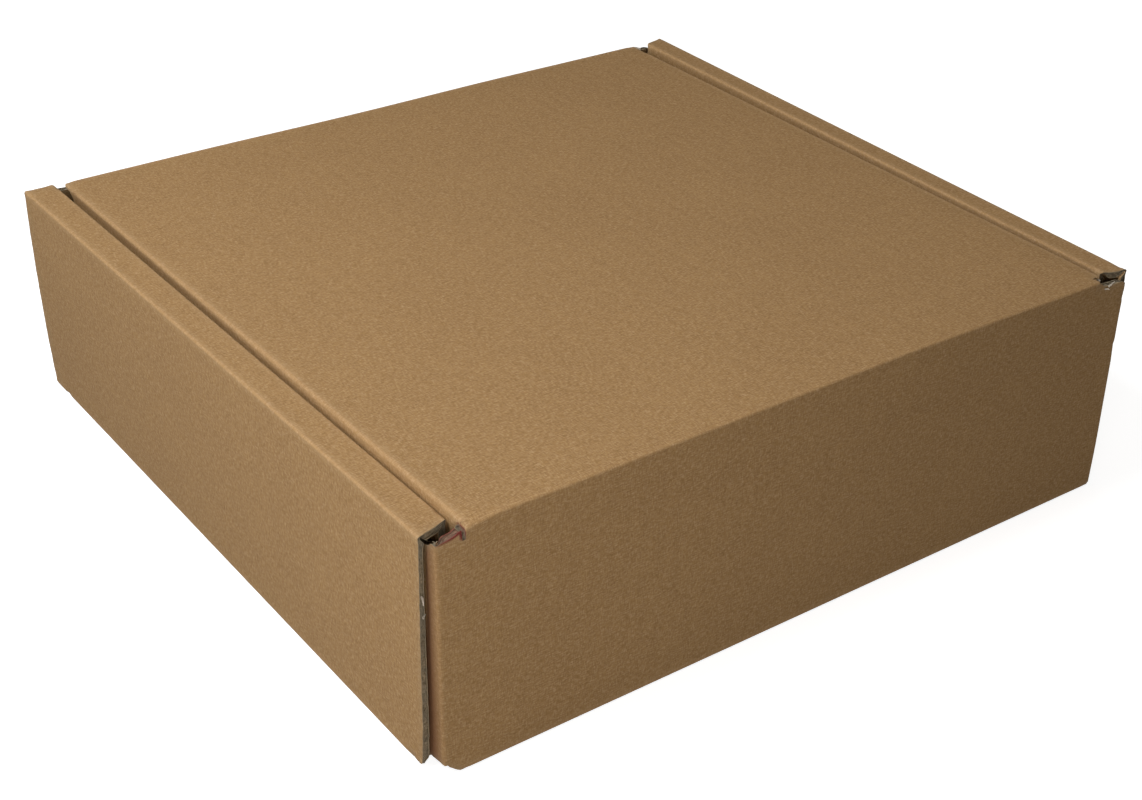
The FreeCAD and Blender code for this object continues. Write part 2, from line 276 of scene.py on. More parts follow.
def fold_lid(u, v, w):
    """The lid: panel, side ears and tuck flap. Its folds lie at the same u all along."""
    side = np.where(u < 0, -1.0, 1.0)
    across = np.abs(u)
    x, y, z = np.zeros_like(u), v.copy(), np.zeros_like(u)
    for one in (1, -1):
        fold = lid_fold_line(one, LID_REAR)
        line = lid_fold_line(one, v)
        s = across - fold
        flat = across * line / fold
        a, b = EAR.place(s, w * EAR.thin(s))
        reach = np.where(s > 0, line + a, flat)
        x = np.where(side == one, side * reach, x)
        z = np.where(side == one, HEIGHT - b, z)
    s = -v - TUCK.start
    a, b = TUCK.place(s, w * TUCK.thin(s))
    y = np.where(s > 0, -a, y)
    z = np.where(s > 0, HEIGHT - b, z)
    narrower = lid_fold_line(-1, LID_REAR)
    y = y - w * smooth((v - LID_REAR + SLANT_RUN) / SLANT_RUN) * (across < narrower)
    return np.stack([x, y, z], 1)


# How the folded box stands: it splays towards the front, and the hinge wall is the tallest side

CORNER_SHIFT = {
    (1, 1, 1): (0.2, 0.6, -0.1),
    (-1, 1, 1): (-0.3, -2.0, -0.1),
    (1, -1, 1): (4.5, 1.2, -0.4),
    (-1, -1, 1): (0.0, 1.1, -0.2),
    (1, 1, 0): (-1.9, 0.2, 0.0),
    (-1, 1, 0): (1.1, 0.7, 0.0),
    (1, -1, 0): (-1.1, -2.5, 0.0),
    (-1, -1, 0): (0.0, 0.0, 0.0),
}
# Along X: the first station, where the crease's left and middle strips meet, and where it is crushed
RISE_LEFT = -149.0
LEFT_JOINT = -40.0
CRUSH_START = 129.0
CRUSH_END = 141.0
CREASE_RISE = ((RISE_LEFT, 0.3), (-133.0, 1.4), (LEFT_JOINT, 3.3), (CRUSH_START, 3.3), (CRUSH_END, 2.8))
WALL_RISE = CREASE_RISE[:-1] + ((CRUSH_END, 1.0),)
CRUSH_FADE = 9.0
LID_DROP = 0.6
HINGE_WALL_START, HINGE_WALL_BLEND = 138.2, 1.6

# Waves of the large panels, and the shallow crush line along the hinge wall
TOP_WAVE = 0.2
TOP_WAVE_EDGE, TOP_WAVE_EDGE_RUN, TOP_WAVE_REAR_RUN = 112.0, 22.0, 30.0
END_WAVE = 0.35
DENT_DEPTH = 0.35
DENT_WIDTH = 1.3
DENT_HEIGHT, DENT_SLOPE, DENT_MIDDLE = 64.0, 0.0273, 43.0
DENT_END, DENT_END_RUN = 62.0, 12.0


def rise(x, stations):
    """How far the crease, or the wall under it, stands above its ideal height."""
    return np.interp(x, *zip(*stations))


def corner_moves(x, y, level):
    """The corners' shifts, shared out between them."""
    rightness = (x + HALF_WIDTH) / (HALF_WIDTH * 2)
    hingeness = (y + HALF_DEPTH) / (HALF_DEPTH * 2)
    shift = np.zeros((len(x), 3))
    for (side, end, top), move in CORNER_SHIFT.items():
        share = rightness if side > 0 else 1 - rightness
        share = share * (hingeness if end > 0 else 1 - hingeness)
        share = share * (level if top else 1 - level)
        shift += share[:, None] * np.array(move)
    return shift


def lift(x, y, z, is_lid):
    """The rise of a point with the crease: the lid slopes down from it, the hinge wall reaches it."""
    if is_lid:
        forward = np.clip((LID_REAR - y) / (LID_REAR + LID_FRONT), 0.0, 1.0)
        whole = rise(np.clip(x, RISE_LEFT, CRUSH_START), CREASE_RISE)
        crushed = (rise(x, CREASE_RISE) - whole) * np.exp(-np.maximum(LID_REAR - y, 0.0) / CRUSH_FADE)
        return (whole + LID_DROP) * (1 - forward) - LID_DROP + crushed
    hinge_wall = smooth((y - HINGE_WALL_START) / HINGE_WALL_BLEND)
    return rise(x, WALL_RISE) * np.clip(z / (CREASE_FOOT - BOARD), 0.0, 1.0) * hinge_wall


def top_wave(x, y, level):
    """Gentle waves of the top, that fade out towards the ridges and the crease."""
    inner = 1 - smooth((np.abs(x) - TOP_WAVE_EDGE) / TOP_WAVE_EDGE_RUN)
    away = smooth((LID_REAR - y) / TOP_WAVE_REAR_RUN)
    wave = np.sin(x / 37 + 1.1) * np.sin(y / 53 + 0.4) + 0.6 * np.sin(x / 19 + y / 71)
    return TOP_WAVE * wave * level ** 3 * inner * away


def end_wave(x, y, z):
    """Gentle waves of the two end walls, that fade out towards their foot and top."""
    end_face = smooth((np.abs(y) - 139) / 1.5) * smooth(z / 20) * smooth((CREASE_FOOT - BOARD - z) / 12)
    return END_WAVE * end_face * np.sin(x / 33 + z / 41)


def dent(x, y, z):
    """The crush line along the hinge wall, up to its right-hand end."""
    line = DENT_HEIGHT + DENT_SLOPE * (x + DENT_MIDDLE)
    across = np.exp(-((z - line) / DENT_WIDTH) ** 2)
    return across * (y > HALF_DEPTH - 4) * smooth((DENT_END - x) / DENT_END_RUN)


def settle(points, is_lid):
    """Moves ideal points to where the handled box has them."""
    x, y, z = points.T.copy()
    level = np.clip(z / HEIGHT, 0.0, 1.0)
    shift = corner_moves(x, y, level)
    shift[:, 2] += lift(x, y, z, is_lid)
    shift[:, 2] += top_wave(x, y, level)
    shift[:, 1] += end_wave(x, y, z)
    shift[:, 1] -= DENT_DEPTH * dent(x, y, z)
    return points + shift


# Flat blanks

def wall_v(z):
    """How far out on the blank the end walls' outer face reaches height z."""
    if z >= FOOT_FOLD:
        return WALL.start + quarter(FOOT_FOLD) + z - FOOT_FOLD
    return WALL.start + FOOT_FOLD * math.acos(1 - z / FOOT_FOLD)


def arc(centre, radius, first, last, count):
    """Points on an arc, with angles in degrees."""
    angles = np.radians(np.linspace(first, last, count))
    return [(centre[0] + radius * math.cos(t), centre[1] + radius * math.sin(t)) for t in angles]


FLAP_FOLD_END = FLAP.start + quarter(FOLD)


def hinge_rim(side):
    """The cut-out at one end of the hinge crease, down to the corner flap's top edge."""
    crease_end = HALF_WIDTH - NOTCH[side]
    floor = NOTCH_FLOOR[side]
    drop = {1: (0.3, 0.7, 2.4, 4.9), -1: (0.7, 2.0, 3.4, 4.0)}[side]
    rim = [
        (crease_end, CREASE_FOOT),
        (crease_end + 0.1, CREASE_FOOT + 0.6),
        (crease_end + 0.3, floor + 1.9),
        (crease_end + 1.0, floor + 1.5),
        (crease_end + 2.2, floor + 0.7),
        (crease_end + 4.0, floor + 0.2),
        (FLAP.start - 1.2, floor),
        (FLAP.start + 0.4, floor - drop[0]),
        (FLAP_FOLD_END + 0.6, floor - drop[1]),
        (FLAP_FOLD_END + 5.0, floor - drop[2]),
        (FLAP_FOLD_END + 9.0, floor - drop[3]),
    ]
    return [(u, wall_v(z)) for u, z in rim]


def front_rim():
    """The front wall's top edge and the step to its corner flap."""
    return [
        (FLAP.start - 2.0, wall_v(FRONT_TOP)),
        (FLAP.start - 0.6, wall_v(FLAP_TOP + 1.0)),
        (FLAP_FOLD_END, wall_v(FLAP_TOP)),
    ]


# How far the ends of each side roll are cut back, from the base to the inner panel's foot
ROLL_END = {
    (1, 1): (12.0, 8.3, 7.2, 6.3, 6.3, 6.5, 9.2, 9.9, 12.2),
    (-1, 1): (5.0, 4.8, 4.0, 3.5, 3.2, 3.4, 6.2, 7.4, 8.4),
    (1, -1): (3.0, 3.0, 3.2, 4.4, 4.8, 4.9, 4.9, 6.8, 8.6),
    (-1, -1): (3.0, 3.0, 3.2, 4.4, 4.7, 4.8, 6.6, 8.0, 9.0),
}


def roll_end(side, end):
    """The cut end of a side roll, from the base over the ridge to the inner panel's foot."""
    panel = ROLLS[side].start + quarter(FOOT_FOLD)
    ridge_start = panel + HEIGHT - FOOT_FOLD - FOLD
    ridge_end = ridge_start + quarter(FOLD) + RIDGE[side] - FOLD * 2
    inner = ridge_end + quarter(FOLD)
    foot = inner + HEIGHT - FOLD - PANEL_FOOT
    stops = [
        panel - quarter(FOOT_FOLD),
        panel + 0.2,
        panel + 18,
        ridge_start - 9,
        ridge_start,
        ridge_start + quarter(FOLD),
        ridge_end - 0.3,
        ridge_end + 1.6,
        foot,
    ]
    return [(u, HALF_DEPTH - back) for u, back in zip(stops, ROLL_END[side, end])] + [
        (foot, TAB_FAR),
        (foot + PANEL_FOOT - TAB_FOOT, TAB_FAR - 0.8),
        (foot + PANEL_FOOT - TAB_FOOT, TAB_NEAR + 0.8),
        (foot, TAB_NEAR),
    ]


def tray_quarter(side, end):
    """One quarter of the tray's outline, from the middle of the wall's top to the middle of the side."""
    rim = hinge_rim(side) if end > 0 else front_rim()
    run, middle, middle_height, flap_height = RELIEF[min(side, end)]
    top = rim[-1][1]
    tip = FLAP_FOLD_END + FLAP_LENGTH - FOLD
    flap = [
        (tip - 4, top),
        (tip, top - 4),
        (tip, wall_v(PANEL_FOOT + 4)),
        (tip - 4, wall_v(PANEL_FOOT)),
        (FLAP_FOLD_END + 16, wall_v(PANEL_FOOT)),
        (FLAP_FOLD_END + 6, wall_v(PANEL_FOOT + 0.4)),
        (FLAP_FOLD_END, wall_v(flap_height)),
        (FLAP.start, wall_v(flap_height)),
        (HALF_WIDTH - middle, wall_v(middle_height)),
        (HALF_WIDTH - run, WALL.start - 0.2),
        (HALF_WIDTH - run * 0.7, HALF_DEPTH - RELIEF_DEPTH),
        (HALF_WIDTH - FOOT_FOLD - 1.0, HALF_DEPTH - RELIEF_DEPTH),
    ]
    points = rim + flap + roll_end(side, end)
    return [(side * u, end * v) for u, v in points]


def tray_outline():
    """The tray's whole outline, with the sheet on its left."""
    right = tray_quarter(1, 1) + tray_quarter(1, -1)[::-1]
    left = tray_quarter(-1, -1) + tray_quarter(-1, 1)[::-1]
    return (right + left)[::-1]


def tab_slot(side, end):
    """The slot in the base that a locking tab goes through."""
    panel = HALF_WIDTH - RIDGE[side]
    first, last = panel - LAYER_GAP, panel + BOARD + LAYER_GAP
    near, far = TAB_NEAR - LAYER_GAP, TAB_FAR + LAYER_GAP
    corners = [(first, near), (last, near), (last, far), (first, far)]
    loop = [(side * u, end * v) for u, v in corners]
    return loop if side * end < 0 else loop[::-1]


# The lid's rear corners: distances out from the crease's end and forward of it
LID_CORNER = {
    1: ((0.5, 1.0), (1.9, 2.0), (4.5, 3.0), (9.5, 5.2)),
    -1: ((2.0, 0.5), (3.4, 1.4), (5.2, 2.8), (12.0, 7.0)),
}


def crease_reach(side):
    """How far out the crease and the lid's rear edge go."""
    return HALF_WIDTH - NOTCH[side]


def lid_half(side):
    """One half of the lid's outline, from the middle of the crease to the middle of the tuck flap."""
    fold = lid_fold_line(side, LID_REAR)
    edge = fold + quarter(EAR_FOLD)
    reach = min(crease_reach(side), edge)
    ear_foot = edge + EAR_HEIGHT - BOARD
    tuck_edge = lid_fold_line(side, -LID_FRONT) + EAR_FOLD - BOARD
    tuck_edge = tuck_edge * fold / lid_fold_line(side, -LID_FRONT)
    tuck_foot = -(TUCK.start + quarter(TUCK_FOLD) + TUCK_HEIGHT)
    narrow = tuck_edge - TUCK_TAPER
    points = [
        (reach, LID_REAR),
    ] + [(reach + out, LID_REAR - back) for out, back in LID_CORNER[side]] + [
        (ear_foot, HALF_DEPTH - 21.0),
        (ear_foot, -HALF_DEPTH + 32.0),
        (edge + 3.0, -HALF_DEPTH + 12.5),
        (edge, -HALF_DEPTH + 10.0),
        (edge, -LID_FRONT + TUCK_FOLD + 1.2),
        (edge - 1.4, -LID_FRONT + TUCK_FOLD),
        (tuck_edge, -LID_FRONT + TUCK_FOLD - 0.4),
        (tuck_edge, -(TUCK.start + quarter(TUCK_FOLD))),
    ] + arc((narrow - TUCK_RADIUS, tuck_foot + TUCK_RADIUS), TUCK_RADIUS, 0, -90, 9)
    return [(side * u, v) for u, v in points]


def lid_outline():
    """The lid's whole outline, with the sheet on its left."""
    return (lid_half(1) + lid_half(-1)[::-1])[::-1]


# Board meshes

GRID_STEP = 6.0
EDGE_STEP = 0.75
CLOSEST_STEP = 0.2
BESIDE_BEND = (0.8, 1.8, 3.2)
ROW_INSETS = (0.8, 2.1)
RIM_CLEARANCE = 0.65
ROW_CLEARANCE = 0.45
MERGE_DISTANCE = 1e-4
SEAM_WIDTH = 0.01
RNG = np.random.default_rng(7)

# At a cut: how ragged its edges are, the medium's inset, the pressing, and how far both marks reach
LINER_RAGGED = 0.08
MEDIUM_RAGGED = 0.12
MEDIUM_INSET = 0.12
CUT_PRESS = 0.22
CUT_PRESS_REACH = 2.0
CUT_MARK_REACH = 3.0


def bend_lines(path, signs=(1, -1)):
    """Lines along each bend, close enough to make it round."""
    lines = []
    for first, last in path.bends():
        spots = list(np.linspace(first, last, 7))
        spots += [first - away for away in BESIDE_BEND[::-1]]
        spots += [last + away for away in BESIDE_BEND]
        lines += [sign * (path.start + spot) for sign in signs for spot in spots]
    return lines


def merge_lines(dense, low, high):
    """The dense lines, and an even grid where none of them is near."""
    dense = sorted(dense)
    count = int(math.ceil((high - low) / GRID_STEP))
    even = np.linspace(low, high, count + 1)
    spare = [x for x in even if min(abs(x - d) for d in dense) > GRID_STEP * 0.35]
    return np.array(sorted(dense + spare))


def sample_loop(corners, dense_u, dense_v):
    """Points along a closed outline: its corners, where it crosses a bend's lines, and even steps."""
    points = []
    for here, there in zip(corners, corners[1:] + corners[:1]):
        length = math.dist(here, there)
        count = max(1, int(round(length / EDGE_STEP)))
        stops = [k / count for k in range(1, count)]
        crossings = []
        for axis, lines in ((0, dense_u), (1, dense_v)):
            span = there[axis] - here[axis]
            if abs(span) > 0.01:
                crossings += [(line - here[axis]) / span for line in lines]
        nearest = CLOSEST_STEP / length
        crossings = sorted(t for t in crossings if nearest < t < 1 - nearest)
        kept = [0.0]
        for t in crossings:
            if (t - kept[-1]) * length > CLOSEST_STEP:
                kept.append(t)
        for t in stops:
            if min(abs(t - k) for k in kept + [1.0]) * length > EDGE_STEP * 0.5:
                kept.append(t)
        for t in sorted(kept):
            points.append((here[0] + (there[0] - here[0]) * t, here[1] + (there[1] - here[1]) * t))
    return np.array(points)


def inward_normals(loop):
    """Unit directions into the sheet at each point of an outline that has the sheet on its left."""
    before = loop - np.roll(loop, 1, 0)
    after = np.roll(loop, -1, 0) - loop
    before /= np.linalg.norm(before, axis=1)[:, None]
    after /= np.linalg.norm(after, axis=1)[:, None]
    normals = np.stack([-(before + after)[:, 1], (before + after)[:, 0]], 1)
    return normals / np.maximum(np.linalg.norm(normals, axis=1), 0.6)[:, None]


def inside(points, outlines):
    """Which points lie on the sheet."""
    crossings = np.zeros(len(points), int)
    for outline in outlines:
        for (ax, ay), (bx, by) in zip(outline, outline[1:] + outline[:1]):
            if ay == by:
                continue
            crosses = (ay > points[:, 1]) != (by > points[:, 1])
            at = ax + (points[:, 1] - ay) * (bx - ax) / (by - ay)
            crossings += crosses & (points[:, 0] < at)
    return crossings % 2 == 1


def tree_of(points):
    """A search tree of flat points."""
    tree = KDTree(len(points))
    for index, (a, b) in enumerate(points):
        tree.insert((a, b, 0.0), index)
    tree.balance()
    return tree


def triangulate(outlines, loops, grid_u, grid_v):
    """Triangles over the sheet. Returns its points, the triangles and each loop's point numbers."""
    rim = np.concatenate(loops)
    rim_tree = tree_of(rim)
    rows = [loop[::2] + inward_normals(loop)[::2] * inset for loop in loops for inset in ROW_INSETS]
    grid = np.stack(np.meshgrid(grid_u, grid_v), -1).reshape(-1, 2)
    rows = np.concatenate(rows)
    rows = rows[inside(rows, outlines)]
    rows = rows[[rim_tree.find((a, b, 0))[2] > RIM_CLEARANCE for a, b in rows]]
    row_tree = tree_of(rows)
    grid = grid[inside(grid, outlines)]
    grid = grid[[rim_tree.find((a, b, 0))[2] > RIM_CLEARANCE
                 and row_tree.find((a, b, 0))[2] > ROW_CLEARANCE for a, b in grid]]
    points = np.concatenate([rim, rows, grid])
    edges, spans = [], []
    first = 0
    for loop in loops:
        numbers = list(range(first, first + len(loop)))
        edges += list(zip(numbers, numbers[1:] + numbers[:1]))
        spans.append(numbers)
        first += len(loop)
    flat = [Vector((a, b)) for a, b in points]
    found, _, faces, origins, _, _ = delaunay_2d_cdt(flat, edges, [], 0, MERGE_DISTANCE)
    found = np.array([(p.x, p.y) for p in found])
    faces = np.array([f for f in faces if len(f) == 3])
    faces = faces[inside(found[faces].mean(1), outlines)]
    number = {one: index for index, old in enumerate(origins) for one in old}
    return found, faces, [[number[k] for k in span] for span in spans]


def ring_faces(one, other):
    """Quads between two closed rings of points."""
    count = len(one)
    return [(one[k], one[(k + 1) % count], other[(k + 1) % count], other[k]) for k in range(count)]


class Blank:
    """Collects the points and faces of a board in the blank's own coordinates."""

    def __init__(self):
        self.points = []
        self.faces = []
        self.kinds = []

    def add_points(self, flat, depth):
        """Adds flat points at a depth, and returns their numbers."""
        first = sum(len(p) for p in self.points)
        depth = np.broadcast_to(np.asarray(depth, float), (len(flat),))
        self.points.append(np.column_stack([flat, depth]))
        return list(range(first, first + len(flat)))

    def add_faces(self, faces, kind):
        """Adds faces of one kind of material."""
        self.faces += [tuple(int(i) for i in face) for face in faces]
        self.kinds += [kind] * len(faces)


# Kinds of face, in the order of MATERIALS
LINER_FACE, CUT_LINER, CORE, TORN = 0, 1, 2, 3


def ragged(count, size):
    """Small uneven steps along a cut."""
    steps = RNG.normal(0, 1, count)
    return size * (steps + np.roll(steps, 1) + np.roll(steps, -1)) / 2


def board_blank(outlines, loops, grid_u, grid_v, seam):
    """A closed board over the given outlines: two liners, and at every cut a groove with its fluting.

    At v = seam the board isn't cut but goes on as the hinge crease.
    """
    flat, faces, rings = triangulate(outlines, loops, grid_u, grid_v)
    blank = Blank()
    outer_flat, inner_flat = flat.copy(), flat.copy()
    for loop, ring in zip(loops, rings):
        normal = inward_normals(loop)
        normal = normal * (np.abs(loop[:, 1] - seam) > SEAM_WIDTH)[:, None]
        outer_flat[ring] += normal * ragged(len(ring), LINER_RAGGED)[:, None]
        inner_flat[ring] += normal * ragged(len(ring), LINER_RAGGED)[:, None]
    outer = blank.add_points(outer_flat, 0.0)
    inner = blank.add_points(inner_flat, BOARD)
    blank.add_faces(faces, LINER_FACE)
    blank.add_faces(faces[:, ::-1] + len(flat), LINER_FACE)
    for loop, ring in zip(loops, rings):
        normal = inward_normals(loop)
        back = loop + normal * GROOVE
        steps = [
            [outer[k] for k in ring],
            blank.add_points(outer_flat[ring], LINER),
            blank.add_points(back, LINER),
            blank.add_points(back, BOARD - LINER),
            blank.add_points(inner_flat[ring], BOARD - LINER),
            [inner[k] for k in ring],
        ]
        for one, other, kind in zip(steps[1:], steps, (CUT_LINER, CORE, CORE, CORE, CUT_LINER)):
            blank.add_faces(ring_faces(one, other), kind)
        flute = BOARD / 2 + (BOARD / 2 - LINER - MEDIUM / 2) * np.sin(
            loop[:, 0] * 2 * math.pi / FLUTE_PITCH)
        front = loop + normal * (MEDIUM_INSET + np.abs(ragged(len(ring), MEDIUM_RAGGED)))[:, None]
        behind = loop + normal * (GROOVE + 0.15)
        corners = [
            blank.add_points(front, flute - MEDIUM / 2),
            blank.add_points(front, flute + MEDIUM / 2),
            blank.add_points(behind, flute + MEDIUM / 2),
            blank.add_points(behind, flute - MEDIUM / 2),
        ]
        for one, other in zip(corners, corners[1:] + corners[:1]):
            blank.add_faces(ring_faces(one, other), CORE)
    return blank, rim_distance(blank, loops, seam)


def rim_distance(blank, loops, seam):
    """How far each point is from the nearest cut."""
    rim = np.concatenate(loops)
    tree = tree_of(rim[np.abs(rim[:, 1] - seam) > SEAM_WIDTH])
    points = np.concatenate(blank.points)
    return np.array([tree.find((a, b, 0.0))[2] for a, b, _ in points])


def add_object(name, data):
    """A new object in the scene."""
    made = bpy.data.objects.new(name, data)
    bpy.context.scene.collection.objects.link(made)
    return made


def make_mesh(name, places, faces, kinds, flat, marks):
    """A mesh object in metres, with its place on the blank as a map and its marks as colours."""
    mesh = bpy.data.meshes.new(name)
    mesh.from_pydata([Vector(p) for p in places * MM], [], faces)
    mesh.polygons.foreach_set("material_index", kinds)
    for material in MATERIALS:
        mesh.materials.append(material)
    work = bmesh.new()
    work.from_mesh(mesh)
    bmesh.ops.recalc_face_normals(work, faces=work.faces)
    work.to_mesh(mesh)
    work.free()
    corners = np.zeros(len(mesh.loops), int)
    mesh.loops.foreach_get("vertex_index", corners)
    layer = mesh.uv_layers.new(name="blank")
    layer.uv.foreach_set("vector", (flat[corners] * MM).astype(np.float32).ravel())
    colours = mesh.color_attributes.new("marks", "FLOAT_COLOR", "POINT")
    colours.data.foreach_set("color", marks.astype(np.float32).ravel())
    mesh.shade_smooth()
    mesh.set_sharp_from_angle(angle=math.radians(40))
    return add_object(name, mesh)


def stain_at(places):
    """The dark red stain round the right-hand cut-out of the hinge wall."""
    middle = np.array([HALF_WIDTH - NOTCH[1] + 1.0, HALF_DEPTH - 1.0, NOTCH_FLOOR[1] + 1.5])
    away = np.linalg.norm((places - middle) * np.array([0.35, 0.6, 1.0]), axis=1)
    return 1 - smooth((away - 2.0) / 2.4)


def painted_shade_mask(places, is_tray):
    """Painted shade: where the corner flap's strip beside the side panel's cut end is darkened in colour,
    standing in for the shade in that recess.
    """
    x, y, z = places.T
    face = FLAP_FACE + FLAP_LEAN * np.clip(z / HEIGHT, 0.0, 1.0)
    strip = 1 - smooth((np.abs(x - face) - 0.5) / 0.3)
    strip = strip * smooth((y - 120) / 4) * (1 - smooth((y - HALF_DEPTH + 6.8) / 9.0))
    return strip * smooth((HEIGHT - 0.5 - z) / 0.5) * is_tray


def board_piece(name, outlines, grid, dense, seam, fold, bend_share, map_of):
    """Folds a blank and makes its mesh."""
    outlines = [list(outline) for outline in outlines]
    loops = [sample_loop(outline, *dense) for outline in outlines]
    blank, away = board_blank(outlines, loops, *grid, seam)
    points = np.concatenate(blank.points)
    u, v, w = points.T
    # A cut presses the liners together a little
    press = CUT_PRESS * (1 - smooth(away / CUT_PRESS_REACH))
    w = w + press * (BOARD / 2 - w) / (BOARD / 2)
    ideal = fold(u, v, w)
    places = settle(ideal, name == "mailer_lid")
    marks = np.ones((len(points), 4))
    marks[:, 0] = bend_share(u, v)
    marks[:, 1] = 1 - smooth(away / CUT_MARK_REACH)
    marks[:, 2] = stain_at(ideal)
    # The alpha carries painted shade: 1 less its share on the tray's corner flap strip
    marks[:, 3] = 1 - painted_shade_mask(ideal, name == "mailer_tray")
    return make_mesh(name, places, blank.faces, blank.kinds, map_of(points), marks)


def make_tray():
    """The tray's mesh, with the base's slots. Lines lie close at the bends and at the crush line."""
    dense_u = bend_lines(ROLLS[1], (1,)) + bend_lines(ROLLS[-1], (-1,)) + bend_lines(FLAP)
    dense_v = bend_lines(WALL)
    crush = [wall_v(z) for z in np.arange(60.5, 73, 1.1)]
    outline = tray_outline()
    reach_u = max(abs(u) for u, _ in outline)
    reach_v = max(abs(v) for _, v in outline)
    grid = (merge_lines(dense_u, -reach_u, reach_u), merge_lines(dense_v + crush, -reach_v, reach_v))
    slots = [tab_slot(side, end) for side in (1, -1) for end in (1, -1)]

    def bend_share(u, v):
        side = np.where(u > 0, ROLLS[1].near_bend(np.abs(u) - ROLLS[1].start, WEAR_REACH),
                        ROLLS[-1].near_bend(np.abs(u) - ROLLS[-1].start, WEAR_REACH))
        wall = np.maximum(WALL.near_bend(np.abs(v) - WALL.start, WEAR_REACH),
                          FLAP.near_bend(np.abs(u) - FLAP.start, 0.8) * 0.1)
        return np.where(np.abs(v) > WALL.start, wall, side)

    return board_piece("mailer_tray", [outline] + slots, grid, (dense_u, dense_v),
                       wall_v(CREASE_FOOT), fold_tray, bend_share, lambda points: points[:, :2])


CREASE_LENGTH = (CREASE_REACH - FOLD) * 2 + quarter(FOLD)
LID_MAP_START = wall_v(CREASE_FOOT) + CREASE_LENGTH + LID_REAR


def make_lid():
    """The lid's mesh. Lines lie close at the bends."""
    folds = {side: lid_fold_line(side, LID_REAR) for side in (1, -1)}
    dense_u = [side * (folds[side] + spot) for side in (1, -1) for spot in bend_lines(EAR, (1,))]
    dense_v = bend_lines(TUCK, (-1,))
    outline = lid_outline()
    us, vs = zip(*outline)
    grid = (merge_lines(dense_u, min(us), max(us)), merge_lines(dense_v, min(vs), max(vs)))

    def bend_share(u, v):
        side = np.where(u > 0, np.abs(u) - folds[1], np.abs(u) - folds[-1])
        front = TUCK.near_bend(-v - TUCK.start, WEAR_REACH)
        return np.where(-v > TUCK.start, front, np.maximum(EAR.near_bend(side, WEAR_REACH), front))

    return board_piece("mailer_lid", [outline], grid, (dense_u, dense_v), LID_REAR, fold_lid, bend_share,
                       lambda points: np.stack([points[:, 0], LID_MAP_START - points[:, 1]], 1))


CREASE_STEP = 1.5
CREASE_PARTS = 12
CREASE_CORE_SHARE = 0.72
CREASE_CORE_DEPTH = 0.8


def crease_section(count):
    """Outer and inner face of the hinge crease, from the wall to the lid."""
    outer, inner = [], []
    for share in np.linspace(0, 0.5, count // 2 + 1):
        along = share * CREASE_LENGTH
        straight = CREASE_REACH - FOLD
        turn = max(along - straight, 0.0) / FOLD
        out_y = -FOLD * (1 - math.cos(turn))
        out_z = -CREASE_REACH + min(along, straight) + FOLD * math.sin(turn)
        in_y = -BOARD + 1.1 * smooth((share * 2 - 0.45) / 0.55)
        in_z = -BOARD - CREASE_REACH + share * 2 * 4.1
        outer.append((out_y, out_z))
        inner.append((in_y, in_z))
    corner = np.array([HALF_DEPTH, HEIGHT])
    outer = np.array(outer + [(z, y) for y, z in outer[-2::-1]]) + corner
    inner = np.array(inner + [(z, y) for y, z in inner[-2::-1]]) + corner
    return outer, inner, np.linspace(0, 1, len(outer))


def make_crease(name, first, last):
    """A length of the hinge crease between wall and lid. It is its own strip, because it bends."""
    stations = np.linspace(first, last, int((last - first) / CREASE_STEP) + 2)
    outer, inner, share = crease_section(CREASE_PARTS)
    count = len(outer)
    loop = np.concatenate([outer, inner[::-1]])
    loop_share = np.concatenate([share, share[::-1]])
    middle = (outer + inner) / 2
    core_outer = middle + (outer - middle) * CREASE_CORE_SHARE
    core_inner = middle + (inner - middle) * CREASE_CORE_SHARE
    core = np.concatenate([core_outer, core_inner[::-1]])
    size = len(loop)
    places, faces, kinds, flat = [], [], [], []
    for x in stations:
        places += [(x, y, z) for y, z in loop]
        flat += [(x, wall_v(CREASE_FOOT) + s * CREASE_LENGTH) for s in loop_share]
    for k in range(len(stations) - 1):
        one = [k * size + i for i in range(size)]
        faces += ring_faces(one, [i + size for i in one])
        kinds += [LINER_FACE] * size
    for k, inward in ((0, 1.0), (len(stations) - 1, -1.0)):
        x = stations[k]
        rim = [k * size + i for i in range(size)]
        lip = [len(places) + i for i in range(size)]
        places += [(x, y, z) for y, z in core]
        deep = [len(places) + i for i in range(size)]
        places += [(x + inward * CREASE_CORE_DEPTH, y, z) for y, z in core]
        flat += [(x, wall_v(CREASE_FOOT))] * (size * 2)
        faces += ring_faces(rim, lip) + ring_faces(lip, deep)
        kinds += [CUT_LINER] * size + [CORE] * size
        faces += [(deep[i], deep[i + 1], deep[size - 2 - i], deep[size - 1 - i])
                  for i in range(count - 1)]
        kinds += [CORE] * (count - 1)
    ideal = np.array(places)
    wall_share = np.clip((ideal[:, 1] - ideal[:, 2] - HALF_DEPTH + HEIGHT) / CREASE_REACH / 2 + 0.5, 0, 1)
    for side in (1, -1):
        beyond = side * ideal[:, 0] - lid_fold_line(side, LID_REAR)
        reach, drop = EAR.place(beyond, 0.0)
        ideal[:, 0] += np.where(beyond > 0, side * (reach - beyond), 0.0)
        ideal[:, 2] -= np.where(beyond > 0, drop, 0.0) * (1 - wall_share)
    marks = np.ones((len(ideal), 4))
    marks[:, 0] = 0.35 * (1 - smooth((np.abs(wall_share - 0.5) - 0.05) / 0.2))
    reach = np.minimum(crease_reach(1) - ideal[:, 0], ideal[:, 0] + crease_reach(-1))
    marks[:, 1] = 1 - smooth(reach / CUT_MARK_REACH)
    marks[:, 2] = stain_at(ideal)
    settled = settle(ideal, True)
    settled[:, 2] -= (rise(ideal[:, 0], CREASE_RISE) - rise(ideal[:, 0], WALL_RISE)) * wall_share
    strip = make_mesh(name, settled, faces, kinds, np.array(flat), marks)
    # The direction along the strip, from its first station to its last
    wall_end = settled[0]
    along = settled[(len(stations) - 1) * size] - wall_end
    along /= np.linalg.norm(along)
    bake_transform(strip)


